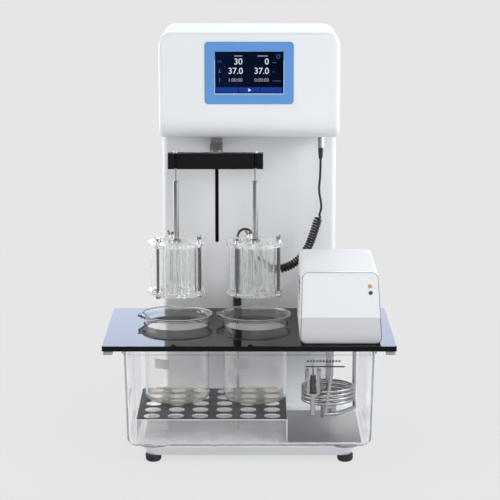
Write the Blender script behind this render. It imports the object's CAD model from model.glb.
"""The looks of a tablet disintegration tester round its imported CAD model.
Metres, +Z up. The front faces -Y, and the origin is on the bench under the middle."""

import math

import bmesh
import bpy
from mathutils import Matrix, Vector


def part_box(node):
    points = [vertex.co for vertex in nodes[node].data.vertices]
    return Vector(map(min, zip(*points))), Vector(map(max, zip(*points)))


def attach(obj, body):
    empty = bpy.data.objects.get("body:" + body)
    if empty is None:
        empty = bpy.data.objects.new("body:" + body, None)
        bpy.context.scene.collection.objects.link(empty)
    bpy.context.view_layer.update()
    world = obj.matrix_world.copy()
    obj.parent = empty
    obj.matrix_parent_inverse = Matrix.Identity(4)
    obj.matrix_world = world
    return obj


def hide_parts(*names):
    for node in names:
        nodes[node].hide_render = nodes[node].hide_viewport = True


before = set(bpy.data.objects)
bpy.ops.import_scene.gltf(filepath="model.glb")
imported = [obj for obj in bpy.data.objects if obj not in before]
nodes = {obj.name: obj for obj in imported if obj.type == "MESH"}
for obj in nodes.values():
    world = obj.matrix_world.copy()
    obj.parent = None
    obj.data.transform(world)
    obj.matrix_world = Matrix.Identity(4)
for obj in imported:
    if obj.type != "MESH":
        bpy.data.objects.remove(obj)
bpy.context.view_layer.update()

MM = 0.001
SIDES = ("left", "right")


# ---- camera, background and light ------------------------------------------------------
CAMERA_PLACE = (0.0012, -3.026, 0.8905)
CAMERA_PITCH = 10.85
FOCAL_IN_IMAGE_WIDTHS = 1900 / 500
SENSOR = 36.0
BACKDROP = 0.791


def place_camera():
    lens = bpy.data.cameras.new("camera")
    lens.sensor_width = SENSOR
    lens.lens = SENSOR * FOCAL_IN_IMAGE_WIDTHS
    lens.clip_start = 0.05
    camera = bpy.data.objects.new("camera", lens)
    camera.location = CAMERA_PLACE
    camera.rotation_euler = (math.radians(90 - CAMERA_PITCH), 0, 0)
    bpy.context.scene.collection.objects.link(camera)
    bpy.context.scene.camera = camera


def soft_box(name, place, target, width, height, power, color=(1, 1, 1)):
    data = bpy.data.lights.new(name, "AREA")
    data.shape = "RECTANGLE"
    data.size, data.size_y = width, height
    data.energy = power
    data.color = color
    lamp = bpy.data.objects.new(name, data)
    lamp.location = place
    lamp.rotation_euler = (Vector(target) - Vector(place)).to_track_quat("-Z", "Y").to_euler()
    bpy.context.scene.collection.objects.link(lamp)


def light_studio():
    soft_box("front box", (0, -3.3, 1.3), (0, 0, 0.35), 1.6, 1.0, 17)
    soft_box("left box", (-2.0, -1.3, 1.5), (0, 0, 0.35), 1.5, 0.9, 11)
    soft_box("left rear box", (-2.2, 0.2, 0.8), (0, 0, 0.35), 1.5, 0.9, 25)
    soft_box("right box", (2.0, -1.3, 1.5), (0, 0, 0.35), 1.5, 0.9, 34, (0.94, 0.97, 1.0))
    soft_box("rear box", (0.3, 2.5, 2.4), (0, 0, 0.35), 1.6, 1.0, 20)
    soft_box("right low box", (1.9, -0.7, 0.45), (0, 0, 0.25), 1.5, 0.9, 6, (0.84, 0.92, 1.0))


def build_world():
    """A pale room: what the camera and glass see is flat, and shiny things see a bright wall behind."""
    world = bpy.data.worlds.new("room")
    bpy.context.scene.world = world
    world.use_nodes = True
    tree = world.node_tree
    tree.nodes.clear()
    new, link = tree.nodes.new, tree.links.new
    rays = new("ShaderNodeLightPath")
    way = new("ShaderNodeTexCoord")
    split = new("ShaderNodeSeparateXYZ")
    link(way.outputs["Generated"], split.inputs[0])

    def maths(operation, a, b=0.0, c=0.0):
        node = new("ShaderNodeMath")
        node.operation = operation
        for socket, value in zip(node.inputs, (a, b, c)):
            if isinstance(value, (int, float)):
                socket.default_value = value
            else:
                link(value, socket)
        return node.outputs[0]

    def background(color, strength):
        node = new("ShaderNodeBackground")
        node.inputs["Color"].default_value = (*color, 1)
        if isinstance(strength, (int, float)):
            node.inputs["Strength"].default_value = strength
        else:
            link(strength, node.inputs["Strength"])
        return node.outputs[0]

    def mix(factor, a, b):
        node = new("ShaderNodeMixShader")
        link(factor, node.inputs[0])
        link(a, node.inputs[1])
        link(b, node.inputs[2])
        return node.outputs[0]

    behind = maths("GREATER_THAN", split.outputs["Y"], 0.3)
    low = maths("LESS_THAN", split.outputs["Z"], 0.45)
    wall = maths("MULTIPLY", behind, low)
    room_level = maths("MULTIPLY_ADD", split.outputs["X"], 0.34, 0.5)
    shiny = mix(wall, background((0.98, 0.99, 1.0), room_level), background((0.80, 0.89, 1.12), 3.15))
    seen = background((1, 1, 1), BACKDROP)
    from_above = maths("MULTIPLY", maths("MAXIMUM", split.outputs["Z"]), 0.48)
    from_right = maths("MULTIPLY", maths("MAXIMUM", split.outputs["X"]), 0.36)
    fill = background((0.93, 0.96, 1.0), maths("ADD", from_above, from_right))
    clear = maths("MAXIMUM", rays.outputs["Is Camera Ray"], rays.outputs["Is Transmission Ray"])
    room = mix(rays.outputs["Is Glossy Ray"], fill, shiny)
    out = new("ShaderNodeOutputWorld")
    link(mix(clear, room, seen), out.inputs[0])


# ---- materials --------------------------------------------------------------------------
def linear(color):
    """An sRGB colour in 0-255 numbers, as the shader wants it."""
    channels = [c / 255 for c in color]
    return [c / 12.92 if c <= 0.04045 else ((c + 0.055) / 1.055) ** 2.4 for c in channels]


class Wire:
    """One value inside a material; arithmetic on it adds Math nodes."""

    def __init__(self, paint, socket):
        self.paint, self.socket = paint, socket

    def maths(self, operation, a, b=0.0):
        return self.paint.node("ShaderNodeMath", {"operation": operation}, [a, b])

    def __add__(self, other):
        return self.maths("ADD", self, other)

    __radd__ = __add__

    def __sub__(self, other):
        return self.maths("SUBTRACT", self, other)

    def __rsub__(self, other):
        return self.maths("SUBTRACT", other, self)

    def __mul__(self, other):
        return self.maths("MULTIPLY", self, other)

    __rmul__ = __mul__

    def __truediv__(self, other):
        return self.maths("DIVIDE", self, other)

    def __gt__(self, other):
        return self.maths("GREATER_THAN", self, other)

    def __lt__(self, other):
        return self.maths("LESS_THAN", self, other)

    def fraction(self):
        return self.maths("FRACT", self)

    def power(self, exponent):
        return self.maths("POWER", self, exponent)

    def clamped(self):
        return self.paint.node("ShaderNodeClamp", {}, [self])


class Paint:
    """A named material with one Principled shader."""

    def __init__(self, name, color, roughness, **constants):
        self.material = bpy.data.materials.new(name)
        self.material.use_nodes = True
        self.tree = self.material.node_tree
        self.shader = self.tree.nodes["Principled BSDF"]
        self.set("Base Color", (*linear(color), 1))
        self.set("Roughness", roughness)
        for key, value in constants.items():
            self.set(key.replace("_", " ").title().replace("Ior", "IOR"), value)

    def set(self, name, value):
        self.feed(self.shader.inputs[name], value)

    def feed(self, socket, value):
        if isinstance(value, Wire):
            self.tree.links.new(value.socket, socket)
        else:
            socket.default_value = value

    def node(self, kind, settings, values=(), output=0):
        made = self.tree.nodes.new(kind)
        for key, value in settings.items():
            setattr(made, key, value)
        pairs = values.items() if isinstance(values, dict) else enumerate(values)
        for key, value in pairs:
            self.feed(made.inputs[key], value)
        return Wire(self, made.outputs[output])

    def place(self, scale=(1, 1, 1), turn=(0, 0, 0)):
        """The point's place in the row's frame, stretched and turned."""
        here = self.node("ShaderNodeTexCoord", {}, output="Object")
        return self.node("ShaderNodeMapping", {}, {"Vector": here, "Scale": scale, "Rotation": turn})

    def axes(self, place):
        split = self.tree.nodes.new("ShaderNodeSeparateXYZ")
        self.feed(split.inputs[0], place)
        return [Wire(self, s) for s in split.outputs]

    def noise(self, place, scale, detail=2.0):
        return self.node("ShaderNodeTexNoise", {}, {"Vector": place, "Scale": scale, "Detail": detail})

    def blend(self, factor, low, high):
        """Between two sRGB colours."""
        return self.node("ShaderNodeMix", {"data_type": "RGBA"},
                         {0: factor, 6: (*linear(low), 1), 7: (*linear(high), 1)}, output=2)

    def tones(self, factor, color, spread):
        """A colour that drifts a little to either side of its own."""
        self.set("Base Color", self.blend(factor, [max(0, c - spread) for c in color],
                                          [min(255, c + spread) for c in color]))

    def rubbed(self, place, roughness, spread, scale=38):
        """Roughness that changes in soft patches, as handling leaves it."""
        self.set("Roughness", self.noise(place, scale, 3.0) * spread + (roughness - spread / 2))

    def bump(self, height, strength, distance):
        self.set("Normal", self.node("ShaderNodeBump", {}, {"Height": height, "Strength": strength,
                                                            "Distance": distance}))


LATHE_PITCH = 0.5
BAR_FOOT, BAR_TOP = 447, 472
MESH_PITCH, WIRE_SHARE = 1.9, 0.32
PIXEL_PITCH, PIXEL_GAP = 0.45, 0.14


def coated(name, color, roughness, grain=0.06, grain_scale=900, spread=3, **constants):
    """A painted, moulded or cast surface: fine grain, faint clouds of tone and rubbed patches."""
    paint = Paint(name, color, roughness, **constants)
    place = paint.place()
    paint.tones(paint.noise(place, 11, 4.0), color, spread)
    paint.rubbed(place, roughness, 0.1)
    paint.bump(paint.noise(place, grain_scale), grain, 0.0002)
    return paint


def brushed(name, color, roughness, stretch, contrast=12, metallic=1.0):
    """Metal with fine lines along the axis that stretch holds small."""
    paint = Paint(name, color, roughness, metallic=metallic)
    lines = paint.noise(paint.place(scale=stretch), 60, 3.0)
    paint.tones(lines, color, contrast)
    paint.set("Roughness", lines * 0.16 + (roughness - 0.08))
    paint.bump(lines, 0.05, 0.0002)
    return paint


def lathe_marks(paint, roughness, pitch):
    """Gives a paint the fine rings or drawn lines that a lathe or a die leaves, and rubbed patches."""
    place = paint.place()
    _, _, z = paint.axes(place)
    paint.rubbed(place, roughness, 0.08, 60)
    paint.bump((z / (pitch * MM)).fraction(), 0.03, 0.00003)
    return paint.noise(place, 24, 3.0)


def turned(name, color, roughness, pitch=LATHE_PITCH):
    """Bright turned or drawn metal."""
    paint = Paint(name, color, roughness, metallic=1.0)
    clouds = lathe_marks(paint, roughness, pitch)
    paint.tones(clouds, color, 7)
    return paint


def hanger_steel(name, roughness, sleeve, neck, knob):
    """Turned steel in three tones: the sleeve, the neck that sits in the bar, and the knob on top."""
    paint = Paint(name, sleeve, roughness, metallic=1.0)
    clouds = lathe_marks(paint, roughness, LATHE_PITCH)
    _, _, z = paint.axes(paint.place())
    above = z > BAR_TOP * MM
    inside = (z > BAR_FOOT * MM) - above
    lower = paint.blend(clouds, sleeve, [c - 12 for c in sleeve])
    upper = paint.blend(above, neck, knob)
    paint.set("Base Color", paint.node("ShaderNodeMix", {"data_type": "RGBA"},
                                       {0: inside + above, 6: lower, 7: upper}, output=2))
    return paint


def clear(name, color, ior, waves, **constants):
    """Glass or clear plastic with faint moulding waves and dull patches."""
    paint = Paint(name, color, 0.0, ior=ior, **constants)
    place = paint.place()
    paint.set("Roughness", (paint.noise(place, 26, 3.0) - 0.5).clamped() * 0.02)
    paint.bump(paint.noise(place, 15), waves, 0.001)
    return paint


def woven_mesh(name):
    """Steel wire cloth: square holes between round wires that pass over and under."""
    color = (178, 180, 182)
    paint = Paint(name, color, 0.3, metallic=1.0)
    place = paint.place()
    x, y, _ = paint.axes(place)
    across, along = [(axis / (MESH_PITCH * MM)).fraction() for axis in (x, y)]
    paint.set("Alpha", ((across < WIRE_SHARE) + (along < WIRE_SHARE)).clamped())
    paint.bump(across * along, 0.3, 0.0003)
    paint.tones(paint.noise(place, 40), color, 9)
    return paint


def smoked_sheet(name):
    """Polished dark acrylic with wiping marks and a little dust."""
    smoke = (9, 10, 12)
    paint = Paint(name, smoke, 0.03, ior=1.22)
    wiped = paint.noise(paint.place(scale=(1, 5, 1), turn=(0, 0, 0.5)), 9, 4.0)
    dust = paint.noise(paint.place(), 700) > 0.78
    paint.set("Roughness", (wiped - 0.45).clamped() * 0.06 + dust * 0.05 + 0.015)
    paint.set("Base Color", paint.blend(dust, smoke, (34, 35, 38)))
    return paint


def lit(name, color):
    """A lit part of the screen, with the panel's pixel rows."""
    paint = Paint(name, (4, 4, 6), 0.5, specular_ior_level=0.05, emission_strength=1.0)
    x, _, z = paint.axes(paint.place())
    in_column, in_row = [(axis / (PIXEL_PITCH * MM)).fraction() < PIXEL_GAP for axis in (x, z)]
    gaps = (in_column + in_row).clamped()
    paint.set("Emission Color", paint.blend(gaps, color, [0.8 * c for c in color]))
    return paint


def screen_glass(name):
    """The unlit panel: almost black, bluer to the right, with finger marks."""
    paint = Paint(name, (1, 2, 5), 0.12, ior=1.06, emission_strength=1.0)
    place = paint.place()
    x, _, _ = paint.axes(place)
    paint.set("Emission Color", paint.blend((x * 9 + 0.5).clamped(), (6, 20, 48), (3, 9, 24)))
    paint.set("Roughness", (paint.noise(place, 55, 3.0) - 0.5).clamped() * 0.5 + 0.08)
    return paint


LOOKS = {}


def look(name, paint):
    LOOKS[name] = paint.material


def make_looks():
    look("white", coated("white_coat", (237, 238, 239), 0.5, specular_ior_level=0.33))
    look("base", coated("grey_coat", (216, 218, 221), 0.36))
    look("base_top", coated("grey_coat_top", (251, 251, 252), 0.5))
    look("rubber", coated("black_rubber", (22, 22, 23), 0.62, grain=0.3, grain_scale=600, spread=5))
    look("blue", coated("blue_bezel", (92, 149, 212), 0.42, grain=0.08, spread=4))
    look("screen", screen_glass("screen_glass"))
    look("screen_edge", coated("screen_edge_light", (206, 222, 240), 0.3))
    look("board", coated("board_green", (38, 92, 58), 0.5, spread=10))
    look("brush", coated("black_bristle", (14, 14, 15), 0.9, grain=0.8, grain_scale=1400, spread=4))
    look("sheet_steel", brushed("frame_steel", (160, 163, 166), 0.4, (1, 1, 14)))
    look("rail_black", brushed("rail_black", (34, 35, 37), 0.34, (14, 14, 1), contrast=6))
    look("polished", turned("polished_steel", (160, 160, 159), 0.12))
    look("bolt", turned("bolt_steel", (104, 101, 97), 0.1))
    look("hanger", hanger_steel("hanger_steel", 0.12, sleeve=(166, 166, 165), neck=(96, 92, 90),
                                knob=(250, 250, 250)))
    look("zinc", turned("zinc_screws", (188, 190, 192), 0.28))
    look("motor", coated("motor_black", (34, 35, 37), 0.4, metallic=0.4, spread=5))
    look("belt", coated("belt_rubber", (26, 26, 27), 0.7, grain=0.4, grain_scale=500, spread=5))
    look("pulley", turned("turned_aluminium", (190, 192, 194), 0.3))
    look("carriage", coated("carriage_nylon", (36, 37, 39), 0.5, spread=5))
    look("arm", brushed("arm_metal", (136, 132, 130), 0.36, (14, 1, 14)))
    look("bar", coated("bar_black", (9, 9, 11), 0.36, ior=1.25, spread=2))
    look("socket", coated("socket_black", (20, 20, 21), 0.45, spread=4))
    look("rack", brushed("rack_steel", (228, 229, 230), 0.34, (1, 16, 16), metallic=0.2))
    look("rack_top", brushed("rack_steel_top", (26, 27, 28), 0.46, (1, 16, 16), contrast=7))
    look("rack_floor", brushed("rack_steel_floor", (150, 151, 152), 0.36, (1, 16, 16)))
    look("lid", smoked_sheet("smoked_lid"))
    look("pad", coated("lid_pad", (150, 153, 158), 0.25, spread=8))
    look("acrylic", clear("bath_acrylic", (254, 254, 255), 1.2, waves=0.004, transmission_weight=0.98))
    look("acrylic_side", clear("bath_acrylic_sides", (252, 253, 255), 1.1, waves=0.002,
                               transmission_weight=0.88))
    look("acrylic_low", clear("bath_acrylic_floor", (252, 252, 252), 1.25, waves=0.004,
                              transmission_weight=0.9))
    look("beaker", clear("beaker_glass", (254, 254, 254), 1.4, waves=0.004, transmission_weight=0.97))
    look("beaker_foot", clear("beaker_glass_foot", (255, 250, 230), 1.45, waves=0.02,
                              transmission_weight=0.78))
    look("beaker_rim", clear("beaker_glass_rim", (255, 255, 255), 1.35, waves=0.004,
                             transmission_weight=0.75))
    look("tube", clear("tube_glass", (252, 253, 253), 1.42, waves=0.001, transmission_weight=0.98))
    look("plate", clear("plate_acrylic", (255, 255, 255), 1.4, waves=0.002, transmission_weight=0.8))
    look("heater", coated("heater_white", (243, 243, 243), 0.62, specular_ior_level=0.22))
    look("heater_panel", coated("heater_panel_white", (236, 237, 238), 0.38))
    look("heater_low", coated("heater_grey_white", (210, 210, 211), 0.42))
    look("heater_dark", coated("heater_grey", (70, 73, 77), 0.5, spread=5))
    look("amber", coated("amber_lens", (206, 156, 104), 0.2, spread=14, coat_weight=0.6))
    look("dark_lens", coated("dark_lens", (48, 50, 52), 0.2, spread=8, coat_weight=0.6))
    look("tube_steel", turned("bent_steel_tube", (172, 173, 173), 0.2))
    look("nickel", turned("nickel_plug", (200, 200, 201), 0.18, pitch=0.8))
    look("jacket", coated("cable_jacket", (14, 14, 16), 0.3, grain=0.08, spread=4))
    look("handle", coated("handle_black", (22, 22, 24), 0.38, spread=4))
    look("wire_cloth", woven_mesh("wire_cloth"))
    look("float", coated("float_black", (20, 20, 21), 0.55, spread=4))
    look("enamel", coated("white_enamel", (196, 197, 196), 0.5, spread=10))
    look("print_black", coated("black_print", (26, 27, 30), 0.5, spread=6))
    look("seam", coated("panel_seam_shade", (132, 134, 138), 0.6, spread=5))
    look("vent", coated("vent_shade", (40, 41, 43), 0.7, spread=5))
    look("digit", lit("screen_white", (231, 233, 238)))
    look("digit_dim", lit("screen_grey", (152, 157, 166)))
    look("icon", lit("screen_blue", (52, 93, 168)))
    look("button", lit("screen_button", (24, 58, 150)))


NODE_LOOKS = {
    "base_plate": "base", "rubber_feet": "rubber", "column_shell": "white", "rear_cover": "white",
    "cover_screws": "zinc", "head_shell": "white", "head_underpan": "base", "screen_bezel": "blue",
    "display_glass": "screen", "control_board": "board", "slot_brushes": "brush",
    "column_frame": "sheet_steel", "guide_rail": "rail_black", "drive_motor": "motor",
    "drive_belt": "belt", "drive_pulley": "pulley",
    "idler_pulley": "pulley", "carriage": "carriage", "drive_arm": "arm", "cross_bar": "bar",
    "bar_screws": "polished", "mains_inlet": "socket", "power_rocker": "socket", "water_bath": "acrylic",
    "beaker_rack": "rack", "lid": "lid", "heater_housing": "heater", "heater_front_panel": "heater_panel",
    "heater_base": "heater_dark", "heater_lamps": "amber", "heater_coil": "tube_steel",
    "pump_tube": "tube_steel", "pump_impeller": "tube_steel", "circulator_motor": "motor",
    "level_sensor": "tube_steel", "level_float": "float", "probe_socket": "socket", "probe_plug": "nickel",
    "probe_boot": "jacket", "probe_lead": "jacket", "probe_curl": "jacket", "probe_tail": "jacket",
    "probe_handle": "handle", "probe_shaft": "tube_steel",
}
for side in SIDES:
    NODE_LOOKS.update({f"{side}_beaker": "beaker", f"{side}_hanger": "hanger",
                       f"{side}_top_plate": "plate", f"{side}_bottom_plate": "plate",
                       f"{side}_tubes": "tube", f"{side}_mesh": "wire_cloth",
                       f"{side}_bolts": "bolt", f"{side}_wing_nuts": "nickel"})
CLEAR_NODES = [n for n, name in NODE_LOOKS.items() if name in ("acrylic", "beaker", "tube", "plate")]


def dress_nodes():
    for name, look_name in NODE_LOOKS.items():
        mesh = nodes[name].data
        mesh.materials.clear()
        mesh.materials.append(LOOKS[look_name])
    for name in CLEAR_NODES:
        nodes[name].visible_shadow = False
        nodes[name].visible_diffuse = False


def dress_faces(node, *rules):
    """Gives a node's faces other finishes: each rule is a look and the test that chooses its faces."""
    mesh = nodes[node].data
    for number, (look_name, chosen) in enumerate(rules, 1):
        mesh.materials.append(LOOKS[look_name])
        for face in mesh.polygons:
            if chosen(face.center / MM, face.normal):
                face.material_index = number


def dress_parts():
    for node in nodes.values():
        for face in node.data.polygons:
            face.material_index = 0
    dress_faces("heater_lamps", ("dark_lens", lambda at, out: at.z < 282))
    dress_faces("heater_front_panel", ("heater_low", lambda at, out: at.z < 237.5))
    dress_faces("base_plate", ("base_top", lambda at, out: out.z > 0.9))
    dress_faces("lid", ("pad", lambda at, out: at.z < 185.9))
    dress_faces("beaker_rack", ("rack_top", lambda at, out: at.z > 60 and out.z > 0.9),
                ("rack_floor", lambda at, out: at.z < 60 and out.z > 0.9))
    dress_faces("water_bath", ("acrylic_side", lambda at, out: abs(out.x) > 0.3),
                ("acrylic_low", lambda at, out: at.z < 38))
    for side in SIDES:
        dress_faces(f"{side}_beaker", ("beaker_foot", lambda at, out: at.z < 76),
                    ("beaker_rim", lambda at, out: at.z > 209))


# ---- piece helpers ------------------------------------------------------------------------
def as_piece(name, mesh, look_name, body):
    mesh.materials.append(LOOKS[look_name])
    piece = bpy.data.objects.new(name, mesh)
    bpy.context.scene.collection.objects.link(piece)
    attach(piece, body)
    return piece


def mesh_from(bm, name):
    mesh = bpy.data.meshes.new(name)
    bm.to_mesh(mesh)
    bm.free()
    return mesh


def flat_box(bm, x0, x1, y0, y1, z0, z1):
    """Adds a box between corners given in millimetres."""
    size = Vector((x1 - x0, y1 - y0, z1 - z0)) * MM
    middle = Vector((x0 + x1, y0 + y1, z0 + z1)) * MM / 2
    bmesh.ops.create_cube(bm, size=1.0, matrix=Matrix.Translation(middle) @ Matrix.Diagonal((*size, 1)))


# ---- display ------------------------------------------------------------------------------
MARK_RISE, INK, STROKE_SPREAD = 0.00006, 0.00002, 0.00007
SPEED_MARK, TIMER_MARK = (0.066, 0.735), (0.925, 0.885)


def screen_text(name, words, size, place, look_name):
    """Numerals that stand upright on the screen; place is (x, y, z) in metres, at their left foot."""
    curve = bpy.data.curves.new(name, "FONT")
    curve.body = words
    curve.size = size
    curve.extrude = INK
    curve.offset = STROKE_SPREAD
    typed = bpy.data.objects.new("typed", curve)
    bpy.context.scene.collection.objects.link(typed)
    bpy.context.view_layer.update()
    mesh = bpy.data.meshes.new_from_object(typed)
    bpy.data.objects.remove(typed)
    mesh.transform(Matrix.Translation(place) @ Matrix.Rotation(math.pi / 2, 4, "X"))
    return as_piece(name, mesh, look_name, "stand")


def flat_ring(bm, centre, radius, width):
    """Adds an upright flat ring and returns its faces."""
    upright = Matrix.Translation(centre) @ Matrix.Rotation(math.pi / 2, 4, "X")
    made = bmesh.ops.create_circle(bm, cap_ends=True, segments=32, radius=radius, matrix=upright)
    disc = made["verts"][0].link_faces[0]
    ring = bmesh.ops.inset_region(bm, faces=[disc], thickness=width, use_boundary=True,
                                  use_even_offset=True)
    bmesh.ops.delete(bm, geom=[disc], context="FACES_ONLY")
    return ring["faces"]


def build_display():
    low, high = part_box("display_glass")
    y = low.y - MARK_RISE
    width, height = high.x - low.x, high.z - low.z
    at = lambda u, v: (low.x + u * width, y, low.z + v * height)
    screen_text("strokes_wanted", "30", 0.0138, at(0.275, 0.695), "digit")
    screen_text("strokes_now", "0", 0.0138, at(0.725, 0.695), "digit")
    screen_text("heat_wanted", "37.0", 0.0138, at(0.19, 0.472), "digit")
    screen_text("heat_now", "37.0", 0.0138, at(0.57, 0.472), "digit")
    screen_text("time_wanted", "1:00:00", 0.0078, at(0.19, 0.285), "digit_dim")
    screen_text("time_run", "0:00:00", 0.0078, at(0.575, 0.285), "digit_dim")
    bars = {
        "button": [(0.015, 0.335, 0.015, 0.15), (0.345, 0.655, 0.015, 0.15), (0.665, 0.985, 0.015, 0.15)],
        "digit_dim": [(0.28, 0.40, 0.885, 0.91), (0.62, 0.77, 0.885, 0.91)],
        "icon": [(0.060, 0.074, 0.49, 0.59), (0.060, 0.074, 0.27, 0.37), (0.050, 0.084, 0.49, 0.52),
                 (0.84, 0.90, 0.73, 0.745), (0.84, 0.87, 0.51, 0.525), (0.84, 0.965, 0.295, 0.31)],
    }
    for look_name, boxes in bars.items():
        bm = bmesh.new()
        for u0, u1, v0, v1 in boxes:
            (x0, _, z0), (x1, _, z1) = at(u0, v0), at(u1, v1)
            flat_box(bm, x0 / MM, x1 / MM, (y - INK) / MM, (y + INK) / MM, z0 / MM, z1 / MM)
        as_piece(f"screen_marks_{look_name}", mesh_from(bm, look_name), look_name, "stand")
    bm = bmesh.new()
    flat_ring(bm, at(*TIMER_MARK), 0.0033, 0.0012)
    speed_mark = at(*SPEED_MARK)
    arc = flat_ring(bm, speed_mark, 0.0034, 0.0009)
    below = [face for face in arc if face.calc_center_median().z < speed_mark[2]]
    bmesh.ops.delete(bm, geom=below, context="FACES")
    as_piece("screen_rings", mesh_from(bm, "rings"), "icon", "stand")
    bm = bmesh.new()
    bezel_low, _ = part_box("screen_bezel")
    edge_front, edge_back = bezel_low.y / MM - 0.08, bezel_low.y / MM + 0.02
    left, right, foot = (low.x / MM, high.x / MM, low.z / MM)
    flat_box(bm, left - 1.1, right + 1.1, edge_front, edge_back, foot - 1.3, foot - 0.1)
    for x in (left - 1.1, right + 0.2):
        flat_box(bm, x, x + 0.9, edge_front, edge_back, foot - 0.2, foot + 0.8 * height / MM)
    as_piece("screen_edge", mesh_from(bm, "edge"), "screen_edge", "stand")
    bm = bmesh.new()
    tip_right = Matrix.Rotation(math.pi / 2, 4, "X") @ Matrix.Rotation(-math.pi / 2, 4, "Z")
    place = Vector(at(0.5, 0.082)) - Vector((0, MARK_RISE, 0))
    bmesh.ops.create_circle(bm, cap_ends=True, segments=3, radius=0.0032,
                            matrix=Matrix.Translation(place) @ tip_right)
    as_piece("screen_arrow", mesh_from(bm, "arrow"), "digit", "stand")


# ---- probe cable ----------------------------------------------------------------------------
LEAD_FROM_PLUG = [(116.2, 42, 454), (116.2, 42, 437), (115.4, 42, 420), (113.6, 42, 403),
                  (116.6, 42, 386.5), (118.4, 42, 373.5), (115.6, 42, 364)]
CURLED_PART = [(115.6, 42, 364), (110.6, 42, 347), (104.6, 43, 327.5), (97.5, 44.5, 307.5), (86, 45.5, 289),
               (68, 46.5, 275), (48, 46, 268.5), (30, 44.5, 274), (15, 43, 288)]
LEAD_TO_PROBE = [(15, 43, 288), (6.4, 42.2, 296), (6.2, 40.6, 314), (6.4, 41, 332), (-6.8, 40.5, 340),
                 (-20, 40, 332), (-20, 40, 317)]
CABLE_DIAMETER = 3.8
CURL_OUTER_RADIUS = 7.5
CURL_PITCH = 4.6
CURL_RUN_OUT = 13
POINTS_A_TURN = 13
LINE_STEPS = 40


def smooth_line(points, resolution):
    """The points of one smooth curve along a route, in metres."""
    curve = bpy.data.curves.new("route", "CURVE")
    curve.dimensions = "3D"
    lay_spline(curve, points)
    curve.splines[0].resolution_u = resolution
    route = bpy.data.objects.new("route", curve)
    bpy.context.scene.collection.objects.link(route)
    bpy.context.view_layer.update()
    mesh = bpy.data.meshes.new_from_object(route)
    line = [v.co.copy() for v in mesh.vertices]
    bpy.data.objects.remove(route)
    bpy.data.meshes.remove(mesh)
    return line


def lay_spline(curve, points):
    spline = curve.splines.new("NURBS")
    spline.points.add(len(points) - 1)
    for point, place in zip(spline.points, points):
        point.co = (*place, 1)
    spline.order_u = 3
    spline.use_endpoint_u = True


def wound_round(line, radius, pitch, run_out):
    """Helix points round a line; over the run-out at either end the turns open into the straight lead."""
    total = length_of(line)
    spacing = 2 * math.pi * radius / POINTS_A_TURN
    points = [line[0]]
    side, angle, reached = Vector((0, 1, 0)), 0.0, 0.0
    for a, b in zip(line, line[1:]):
        along = (b - a).normalized()
        side = (side - along * side.dot(along)).normalized()
        other = along.cross(side)
        stride = (b - a).length / LINE_STEPS
        for step in range(LINE_STEPS):
            reached += stride
            open_share = min(1.0, reached / run_out, (total - reached) / run_out)
            ease = open_share * open_share * (3 - 2 * open_share)
            angle += 2 * math.pi * ease * stride / pitch
            outwards = side * math.cos(angle) + other * math.sin(angle)
            point = a.lerp(b, (step + 1) / LINE_STEPS) + outwards * radius * ease
            if (point - points[-1]).length > spacing and total - reached > spacing / 2:
                points.append(point)
    return points + [line[-1]]


def length_of(points):
    return sum((b - a).length for a, b in zip(points, points[1:]))


def build_cable():
    metres = lambda points: [Vector(p) * MM for p in points]
    line = smooth_line(metres(CURLED_PART), 40)
    coil = wound_round(line, (CURL_OUTER_RADIUS - CABLE_DIAMETER / 2) * MM, CURL_PITCH * MM,
                       CURL_RUN_OUT * MM)
    points = metres(LEAD_FROM_PLUG)[:-1] + coil + metres(LEAD_TO_PROBE)[1:]
    curve = bpy.data.curves.new("probe_cable", "CURVE")
    curve.dimensions = "3D"
    curve.bevel_depth = CABLE_DIAMETER / 2 * MM
    curve.bevel_resolution = 3
    curve.use_fill_caps = True
    lay_spline(curve, points)
    curve.splines[0].resolution_u = 4
    curve.materials.append(LOOKS["jacket"])
    cable = bpy.data.objects.new("probe_cable", curve)
    bpy.context.scene.collection.objects.link(cable)
    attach(cable, "stand")
    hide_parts("probe_lead", "probe_curl", "probe_tail")
    length = length_of(smooth_line(points, 4))


# ---- printing on the glass and the bath --------------------------------------------------------
PRINT_TURN, PRINT_RADIUS = -117, 52.05
SCALE_FOOT, SCALE_STEP, SCALE_LINES, SCALE_LINE = 34, 11.5, 8, 0.7
FILL_LINE, FILL_WORDS = (159.6, 161.6), (168.0, 170.6)
FILL_START, FILL_END, DASHES, DASH_STEP, DASH = 87, 148, 11, 4.9, 3.2
VENT_ROWS, VENT_FOOT, VENT_STEP, VENT_HEIGHT, VENT_REACH = 7, 26, 8.5, 2.6, (-96, -30)


def curved_patch(bm, centre, radius, angle0, angle1, z0, z1):
    """A strip that lies on a round wall; angles in degrees, sizes in millimetres."""
    a = math.radians(angle0)
    x, y = centre[0] + radius * math.cos(a), centre[1] + radius * math.sin(a)
    ends = [bmesh.ops.create_vert(bm, co=Vector((x, y, z)) * MM)["vert"][0] for z in (z0, z1)]
    edge = bmesh.ops.contextual_create(bm, geom=ends)["edges"]
    bmesh.ops.spin(bm, geom=ends + edge, cent=Vector((*centre, 0)) * MM, axis=(0, 0, 1),
                   angle=math.radians(angle1 - angle0), steps=max(1, round((angle1 - angle0) / 4)))


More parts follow.
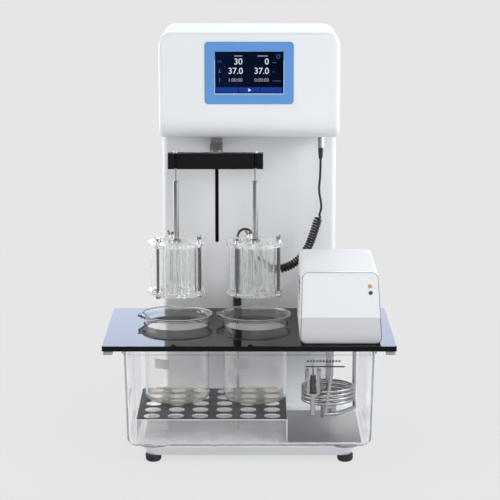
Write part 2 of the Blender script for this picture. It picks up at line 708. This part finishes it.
def print_beaker(side):
    """White enamel on a beaker: a writing patch and a scale of lines."""
    low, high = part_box(f"{side}_mesh")
    centre = ((low.x + high.x) / 2 / MM, (low.y + high.y) / 2 / MM)
    foot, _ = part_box(f"{side}_beaker")
    base = foot.z / MM
    bm = bmesh.new()
    curved_patch(bm, centre, PRINT_RADIUS, PRINT_TURN - 15, PRINT_TURN + 15, base + 60, base + 76)
    for step in range(SCALE_LINES):
        z = base + SCALE_FOOT + SCALE_STEP * step
        start, wide = PRINT_TURN + 24, 9 if step % 2 else 5
        curved_patch(bm, centre, PRINT_RADIUS, start, start + wide, z, z + SCALE_LINE)
    as_piece(f"{side}_beaker_print", mesh_from(bm, "print"), "enamel", f"{side}_vessel")


def print_fill_line():
    low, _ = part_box("water_bath")
    bm = bmesh.new()
    y = low.y / MM + 3.0
    flat_box(bm, FILL_START, FILL_END, y, y + 0.4, *FILL_LINE)
    for step in range(DASHES):
        x = FILL_START + 2 + DASH_STEP * step
        flat_box(bm, x, x + DASH, y, y + 0.4, *FILL_WORDS)
    as_piece("fill_line", mesh_from(bm, "fill_line"), "print_black", "stand")


def cut_vents():
    """Dark slots down the rear half of the heater's left side."""
    low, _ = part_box("heater_housing")
    bm = bmesh.new()
    for row in range(VENT_ROWS):
        z = low.z / MM + VENT_FOOT + VENT_STEP * row
        flat_box(bm, low.x / MM + 0.9, low.x / MM + 1.9, *VENT_REACH, z, z + VENT_HEIGHT)
    as_piece("heater_vents", mesh_from(bm, "vents"), "vent", "heater")


PANEL_CREASE, PANEL_TOP, PANEL_BOTTOM = 238.0, 308.9, 195.5
PANEL_FRONT, PANEL_LEAN = -174.06, 0.1364
PANEL_CORNER, SEAM_WIDTH = 10.0, 1.0


def panel_sides(z):
    """The x of the left and the right edge of the heater's front panel at height z."""
    return 80.2 + 0.022 * (z - 254.6), 201.4 - 0.0702 * (z - 255.0)


def draw_panel_seam():
    """The fine shadow line round the heater's front panel, on its upright and its leaning part."""
    for name, end, look_name in (("upper", PANEL_TOP, "seam"), ("lower", PANEL_BOTTOM, "heater_dark")):
        bm = bmesh.new()
        y = PANEL_FRONT + max(0.0, PANEL_CREASE - end) * PANEL_LEAN
        (left, right), (end_left, end_right) = panel_sides(PANEL_CREASE), panel_sides(end)
        places = [(left, PANEL_FRONT, PANEL_CREASE), (right, PANEL_FRONT, PANEL_CREASE),
                  (end_right, y, end), (end_left, y, end)]
        corners = [bmesh.ops.create_vert(bm, co=Vector(place) * MM)["vert"][0] for place in places]
        bmesh.ops.contextual_create(bm, geom=corners)
        bmesh.ops.bevel(bm, geom=corners[2:], affect="VERTICES", offset=PANEL_CORNER * MM,
                        offset_type="OFFSET", segments=8, profile=0.5, material=-1)
        panel = bm.faces[:]
        bmesh.ops.inset_region(bm, faces=panel, thickness=SEAM_WIDTH * MM, use_boundary=True,
                               use_even_offset=True)
        on_crease = [face for face in bm.faces
                     if all(abs(v.co.z / MM - PANEL_CREASE) < 2 * SEAM_WIDTH for v in face.verts)]
        bmesh.ops.delete(bm, geom=panel + on_crease, context="FACES")
        as_piece(f"{name}_panel_seam", mesh_from(bm, "seam"), look_name, "heater")


# ---- floor -----------------------------------------------------------------------------------
def build_floor():
    bm = bmesh.new()
    bmesh.ops.create_circle(bm, cap_ends=True, segments=96, radius=2.2)
    mesh = mesh_from(bm, "floor")
    paint = Paint("floor_paint", (236, 236, 236), 0.9, specular_ior_level=0.0)
    x, y, _ = paint.axes(paint.place())
    reach = (x * x + y * y).power(0.5)
    seen = paint.tree.nodes.new("ShaderNodeLightPath")
    faint = (1.15 - reach).clamped() * 0.15
    camera = Wire(paint, seen.outputs["Is Camera Ray"])
    clear_ray = Wire(paint, seen.outputs["Is Transmission Ray"])
    seen_through = paint.node("ShaderNodeMath", {"operation": "MAXIMUM"}, [camera, clear_ray])
    factor = seen_through * faint + (1 - seen_through)
    see_through = paint.tree.nodes.new("ShaderNodeBsdfTransparent")
    mix = paint.tree.nodes.new("ShaderNodeMixShader")
    paint.feed(mix.inputs[0], factor)
    paint.tree.links.new(see_through.outputs[0], mix.inputs[1])
    paint.tree.links.new(paint.shader.outputs[0], mix.inputs[2])
    paint.tree.links.new(mix.outputs[0], paint.tree.nodes["Material Output"].inputs["Surface"])
    mesh.materials.append(paint.material)
    floor = bpy.data.objects.new("floor", mesh)
    bpy.context.scene.collection.objects.link(floor)


# ---- everything --------------------------------------------------------------------------------
def build():
    scene = bpy.context.scene
    scene.view_settings.view_transform = "Standard"
    scene.cycles.max_bounces = 24
    scene.cycles.transmission_bounces = 24
    scene.cycles.transparent_max_bounces = 24
    scene.cycles.caustics_reflective = False
    scene.cycles.caustics_refractive = False
    place_camera()
    build_world()
    light_studio()
    make_looks()
    dress_nodes()
    dress_parts()
    build_display()
    build_cable()
    for side in SIDES:
        print_beaker(side)
    print_fill_line()
    cut_vents()
    draw_panel_seam()
    build_floor()


build()
